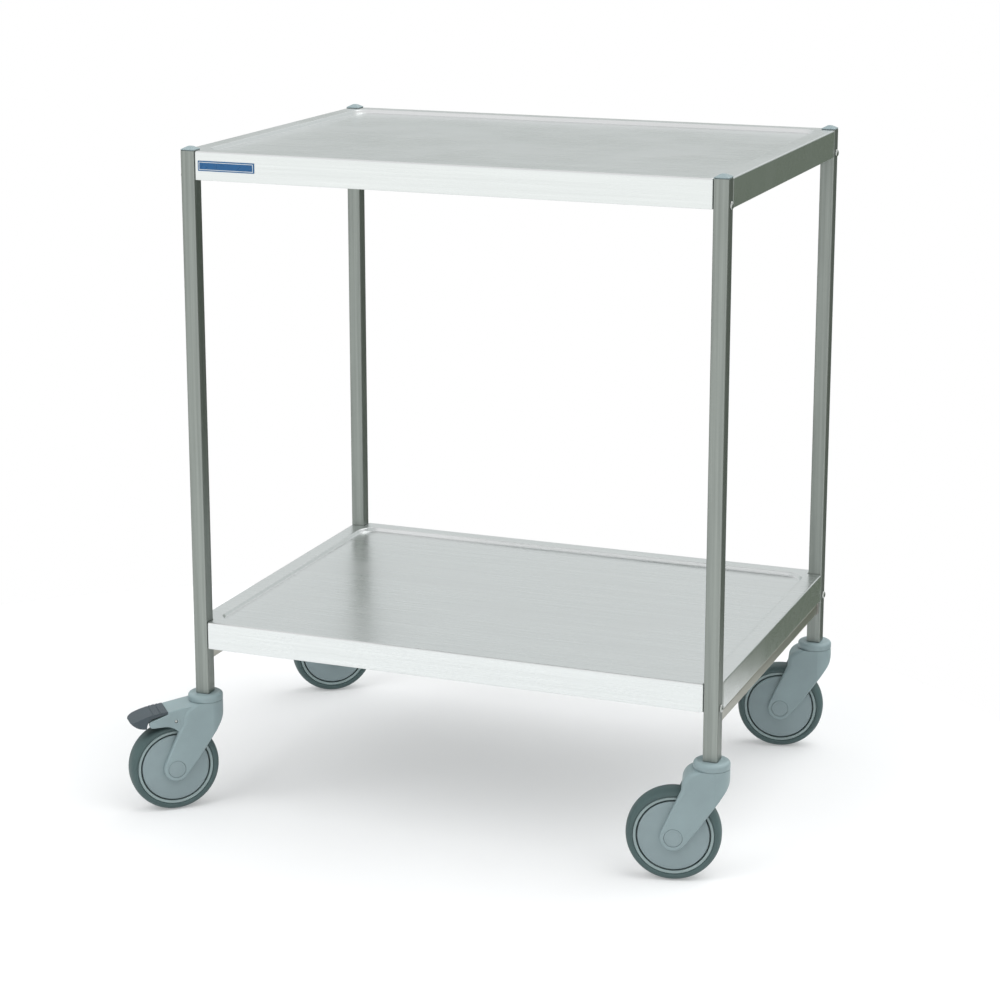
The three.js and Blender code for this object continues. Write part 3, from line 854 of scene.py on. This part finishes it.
def fork_mesh(name, braked):
    """The fork, cut open for its wheel, stem and axle, with the brake's housing if it has one."""
    body = mesh_of(name, pillow(fork_outline(), FORK_HALF, fork_fillet, fork_clip))
    steps = []
    if braked:
        cheeks = pillow(cheek_outline(), CHEEK_HALF, lambda u, z: 1.6, across=3, around=4)
        steps += [("UNION", cheeks), ("DIFFERENCE", cheek_pocket())]
        steps.append(("DIFFERENCE", round_solid(PIVOT_BORE, -30, 30, PIVOT, segments=32)))
    well = round_solid(WELL_RADIUS, -ARM_INSIDE, ARM_INSIDE, (TRAIL, AXLE_Z), segments=160)
    steps += [("DIFFERENCE", well), ("DIFFERENCE", stem_space()), ("DIFFERENCE", axle_space())]
    return cut(body, steps)


def collar_shape():
    """The fixed collar under a leg, with a soft shoulder round its seat."""
    low, high = FORK_TOP + 0.3, COLLAR_TOP
    profile = [
        (STEM_BORE, low), (23.3, low), (23.75, low + 0.15), (24.0, low + 0.6),
        (24.0, high - 4.4), (23.85, high - 3.2), (23.4, high - 2.1), (22.6, high - 1.1),
        (21.5, high - 0.4), (20.2, high), (17.6, high), (16.9, high - 0.35),
        (15.2, high - 0.4), (STEM_BORE, high - 0.4),
    ]
    return placed(turned(profile), Matrix.Rotation(math.pi / 2, 4, "X"))


def mirrored(half):
    """A closed profile from the half on the +Y side."""
    return [(r, -y) for r, y in reversed(half)] + half


def axle_shape():
    """The axle's pin and its round caps, with a shallow ring in each cap."""
    half = [
        (5.0, 20.8), (11.4, 20.8), (12.0, 21.3), (12.0, 22.9), (11.75, 23.25), (11.2, 23.4),
        (9.9, 23.42), (9.6, 23.2), (9.2, 23.2), (8.9, 23.42), (4.0, 23.5), (0.0, 23.5),
    ]
    return turned(mirrored(half), 96)


def rim_shape():
    """The wheel's centre: a hub, a thin web, and a rim with a rounded lip on each side."""
    half = [
        (52.6, 13.7), (52.4, 14.2), (51.8, 14.4), (49.5, 14.4), (49.0, 14.2), (48.8, 13.7),
        (48.7, 5.0), (43.7, 4.0), (14.0, 4.0), (13.0, 12.2), (AXLE_BORE, 12.2),
    ]
    return turned(mirrored(half), 128)


def tyre_shape():
    """The soft tread: a slightly crowned face, rounded shoulders, and sides that meet the rim."""
    half = [
        (62.42, 3.5), (62.1, 7.0), (61.3, 10.4), (60.1, 13.0), (58.4, 14.9),
        (56.6, 15.7), (54.8, 15.75), (53.6, 15.3), (53.0, 14.5), (52.9, 13.6),
    ]
    return turned(mirrored(half), 144)


def guard_shape():
    """A plain domed cover, with a rounded edge and a flat top round its hub."""
    profile = [
        (AXLE_BORE, 12.5), (46.1, 12.5), (46.6, 12.9), (46.6, 13.6), (46.2, 14.05), (45.3, 14.3),
    ]
    profile += [(r, 14.3 + 2.8 * smooth(46.0 - r, -6, 26)) for r in (43, 40, 36, 32, 28, 24, 21)]
    profile += [(19.0, 17.1), (AXLE_BORE, 17.1)]
    return turned(profile, 128)


def lever_shape():
    """Side view of the strap from the pivot into the pad, with a foot towards the tyre."""
    strap = [
        (46.5, 128.0), (61.0, 127.2), (62.0, 126.2), (70.0, 125.0), (71.5, 128.5), (84.0, 128.5),
        (85.0, 132.0), (78.0, 137.8), (60.0, 142.4), (55.0, 138.5), (46.5, 135.0),
    ]
    return slab(rounded(strap, 0.8, 3), 8.0)


def pad_side():
    """Side view of the foot pad, with four shallow grooves across its top near the heel."""
    under = [(HEEL, 143.6), (78.2, 138.4), (80.8, 138.0), (84.4, 134.4), (86.2, 130.5), (87.5, 124.4)]
    line = rounded(under, [0, 1.5, 1.5, 1.5, 1.5, 0.6], 3, closed=False)
    line += bend((87.5, 124.4), (99.0, 124.5), (109.0, 133.0), 12)[1:]
    for u, z in bend((109.0, 133.0), (86.0, 145.0), (HEEL, 146.4), 60)[1:-1]:
        groove = max(0.0, math.cos((u - 63.0) * 2 * math.pi / 5.0)) ** 6 if 61 < u < 80 else 0.0
        line.append((u, z - 0.9 * groove))
    line.append((HEEL, 146.4))
    return line


def pad_plan():
    """The foot pad seen from above: straight sides and a rounded toe, tall enough to cut the pad."""
    far = bend((98.0, -PAD_HALF), (106.8, -PAD_HALF), (108.8, -10.0), 10)
    back = [(u, -y) for u, y in reversed(far)]
    outline = [(40.0, -PAD_HALF)] + far + back + [(40.0, PAD_HALF)]
    return skin([[(u, y, z) for u, y in outline] for z in (110.0, 160.0)])


def pin_shape():
    """The brake's pin, with a low dome at each end."""
    half = [(2.0, 20.2), (1.85, 20.8), (1.3, 21.15), (0.0, 21.3)]
    return placed(turned(mirrored(half), 32), Matrix.Translation((PIVOT[0], 0, PIVOT[1])))


# ---------------------------------------------------------------- caster assembly
FORKS = {True: fork_mesh("braked_fork", True), False: fork_mesh("plain_fork", False)}
COLLAR = mesh_of("collar", collar_shape(), 40)
AXLE = mesh_of("axle", axle_shape(), 50)
RIM_MESH = mesh_of("rim", rim_shape(), 50)
TYRE = mesh_of("tyre", tyre_shape(), 60)
GUARD = mesh_of("guard", guard_shape(), 50)
PIN = mesh_of("brake_pin", pin_shape(), 40)
LEVER = cut(mesh_of("brake_lever", lever_shape()), [
    ("UNION", round_solid(4.0, -17.1, 17.1, PIVOT, 0.4, 48)),
    ("DIFFERENCE", round_solid(PIVOT_BORE, -20, 20, PIVOT, segments=32)),
])
PAD = cut(mesh_of("brake_pad", slab(pad_side(), PAD_HALF + 2)), [("INTERSECT", pad_plan())])
HALF_TURN = Matrix.Rotation(math.pi, 4, "X")


def caster_place(corner):
    """From a caster's own frame to the cart: the wheel trails from the swivel towards its axle."""
    swivel = Vector(JOINTS[f"swivel_{corner}"]["pos_m"])
    wheel = Vector(JOINTS[f"wheel_{corner}_spin"]["pos_m"])
    trail = wheel - swivel
    turn = math.atan2(trail.y, trail.x)
    return Matrix.Translation((swivel.x, swivel.y, 0)) @ Matrix.Rotation(turn, 4, "Z")


def add_caster(corner):
    place = caster_place(corner)
    hub = place @ at(TRAIL, 0, AXLE_Z)
    fork, wheel, grey = f"fork_{corner}", f"wheel_{corner}", "grey_plastic"
    braked = corner in BRAKED
    for kind, mesh, finish, body, slot, matrix, node in (
        ("moulded_collar", COLLAR, GREY_PLASTIC, "frame", grey, place, "collar"),
        ("moulded_fork", FORKS[braked], GREY_PLASTIC, fork, grey, place, "fork"),
        ("axle_cap", AXLE, COVER_PLASTIC, fork, grey, hub, "axle"),
        ("rim_ring", RIM_MESH, RIM_PLASTIC, wheel, grey, hub, "rim"),
        ("round_tyre", TYRE, TYRE_RUBBER, wheel, "tyre", hub, "tyre"),
        ("cover_outer", GUARD, COVER_PLASTIC, fork, grey, hub, "guard_outer"),
        ("cover_inner", GUARD, COVER_PLASTIC, fork, grey, hub @ HALF_TURN, "guard_inner"),
    ):
        piece(f"{kind}_{corner}", mesh, finish, body, slot, matrix, (f"{node}_{corner}",))
    if braked:
        add_brake(corner, place)


def add_brake(corner, place):
    brake = f"brake_{corner}"
    pin, lever, pad = (f"brake_{part}_{corner}" for part in ("pin", "lever", "pad"))
    piece(f"round_{pin}", PIN, BRIGHT_STEEL, f"fork_{corner}", "bright_steel", place, (pin,))
    piece(f"stamped_{lever}", LEVER, BRIGHT_STEEL, brake, "bright_steel", place, (lever,), bevel=0.35)
    piece(f"moulded_{pad}", PAD, PAD_PLASTIC, brake, "pad_plastic", place, (pad,), bevel=1.1)


# ---------------------------------------------------------------- stage
def add_floor():
    """A pale disc with its edge drawn in underneath, which glows a little: a painted glow that lightens
    the cart's shadow on the floor.
    """
    edges = ((FLOOR_RADIUS - FLOOR_UNDERCUT, -1.0), (FLOOR_RADIUS, 0.0))
    disc = skin([[(x, y, z) for x, y in arc(FLOOR_MIDDLE, radius, 0, 357, 119)] for radius, z in edges])
    floor = bpy.data.objects.new("floor", mesh_of("floor", disc))
    bpy.context.collection.objects.link(floor)
    material, tree, shader, where = new_material("pale_floor", FLOOR_COLOURS[0], 0.9)
    base = faded(tree, noise(tree, where, 3.0), 0.3, 0.7, *FLOOR_COLOURS)
    tree.links.new(base, shader.inputs["Base Color"])
    shader.inputs["Specular IOR Level"].default_value = 0.1
    # Painted light: the floor glows to lighten the cart's shadow on it
    shader.inputs["Emission Color"].default_value = (1.0, 1.0, 1.0, 1.0)
    shader.inputs["Emission Strength"].default_value = FLOOR_GLOW
    floor.data.materials.append(material)


def add_lamp(name, lamp, position, back):
    """A light at a place that shines away from a direction. Gloss and the camera don't see it."""
    light = bpy.data.objects.new(name, lamp)
    bpy.context.collection.objects.link(light)
    light.location = position
    light.rotation_euler = Vector(back).to_track_quat("Z", "Y").to_euler()
    light.visible_camera = False
    light.visible_glossy = False


def add_light(name, position, target, size, power):
    """A soft rectangular light that faces a target."""
    lamp = bpy.data.lights.new(name, "AREA")
    lamp.shape = "RECTANGLE"
    lamp.size, lamp.size_y = size
    lamp.energy = power
    add_lamp(name, lamp, position, Vector(position) - Vector(target))


def add_sun(name, towards, strength, spread):
    """A broad light from one direction, the same all over the floor."""
    lamp = bpy.data.lights.new(name, "SUN")
    lamp.energy = strength
    lamp.angle = math.radians(spread)
    add_lamp(name, lamp, (0, 0, 0), towards)


def closeness(tree, vector, towards):
    """How closely a direction points towards another: 1 along it."""
    node = tree.nodes.new("ShaderNodeVectorMath")
    node.operation = "DOT_PRODUCT"
    tree.links.new(vector, node.inputs[0])
    node.inputs[1].default_value = Vector(towards).normalized()
    return node.outputs["Value"]


def add_world():
    """A pale studio, white behind the cart. Gloss sees it bright in front and above, and dim below."""
    world = bpy.data.worlds.new("studio")
    bpy.context.scene.world = world
    world.use_nodes = True
    tree = world.node_tree
    direction = tree.nodes.new("ShaderNodeTexCoord").outputs["Generated"]
    split = tree.nodes.new("ShaderNodeSeparateXYZ")
    tree.links.new(direction, split.inputs["Vector"])
    up = split.outputs["Z"]
    front = ranged(tree, split.outputs["Y"], 1.0, 0.0, -0.5, 0.1)
    above = blended(tree, front, BACK_HIGH, FRONT_HIGH)
    below = blended(tree, front, BACK_LOW, FRONT_LOW)
    walls = faded(tree, up, 0.04, 0.22, below, above)
    studio = faded(tree, up, 0.34, 0.7, walls, OVERHEAD)
    softbox = closeness(tree, direction, SOFTBOX_TOWARDS)
    studio = faded(tree, softbox, 0.95, 0.99, studio, SOFTBOX_COLOUR)
    ceiling = faded(tree, up, 0.08, 0.45, HORIZON, CEILING)
    path = tree.nodes.new("ShaderNodeLightPath").outputs
    soft = blended(tree, path["Is Diffuse Ray"], studio, ceiling)
    shown = blended(tree, path["Is Camera Ray"], soft, BACKDROP)
    tree.links.new(shown, tree.nodes["Background"].inputs["Color"])


def add_camera():
    """The view from the front and a little to the right, looking slightly down."""
    low, high = CAD_BOX
    target = (low + high) / 2 + Vector(AIM)
    azimuth, elevation = math.radians(VIEW_AZIMUTH), math.radians(VIEW_ELEVATION)
    back = Vector((
        math.sin(azimuth) * math.cos(elevation),
        -math.cos(azimuth) * math.cos(elevation),
        math.sin(elevation),
    ))
    data = bpy.data.cameras.new("camera")
    data.sensor_width = SENSOR
    data.lens = LENS
    data.shift_y = SHIFT
    camera = bpy.data.objects.new("camera", data)
    bpy.context.collection.objects.link(camera)
    camera.location = target + back * VIEW_DISTANCE
    camera.rotation_euler = (-back).to_track_quat("-Z", "Y").to_euler()
    bpy.context.scene.camera = camera


# ---------------------------------------------------------------- the cart on its stage
add_camera()
bpy.context.scene.view_settings.view_transform = "Standard"
for shelf_node in ("top_shelf", "lower_shelf"):
    add_shelf(shelf_node)
for end_name in ("left", "right"):
    add_bar(end_name)
for corner_name in CORNERS:
    add_leg(corner_name)
    for level in ("top", "lower"):
        add_screw(f"screw_{level}_{corner_name}", 1 if "right" in corner_name else -1)
    add_caster(corner_name)
    stem = frame["nodes"][f"stem_{corner_name}"]
    stem.data.materials.clear()
    stem.data.materials.append(BRIGHT_STEEL)
add_label()
add_floor()
add_world()
add_sun("top_light", (0.55, 0.2, 1.0), 2.2, 75)
add_light("key", (-1.4, -2.2, 2.6), (0, 0, 0.4), (2.4, 1.8), 46)
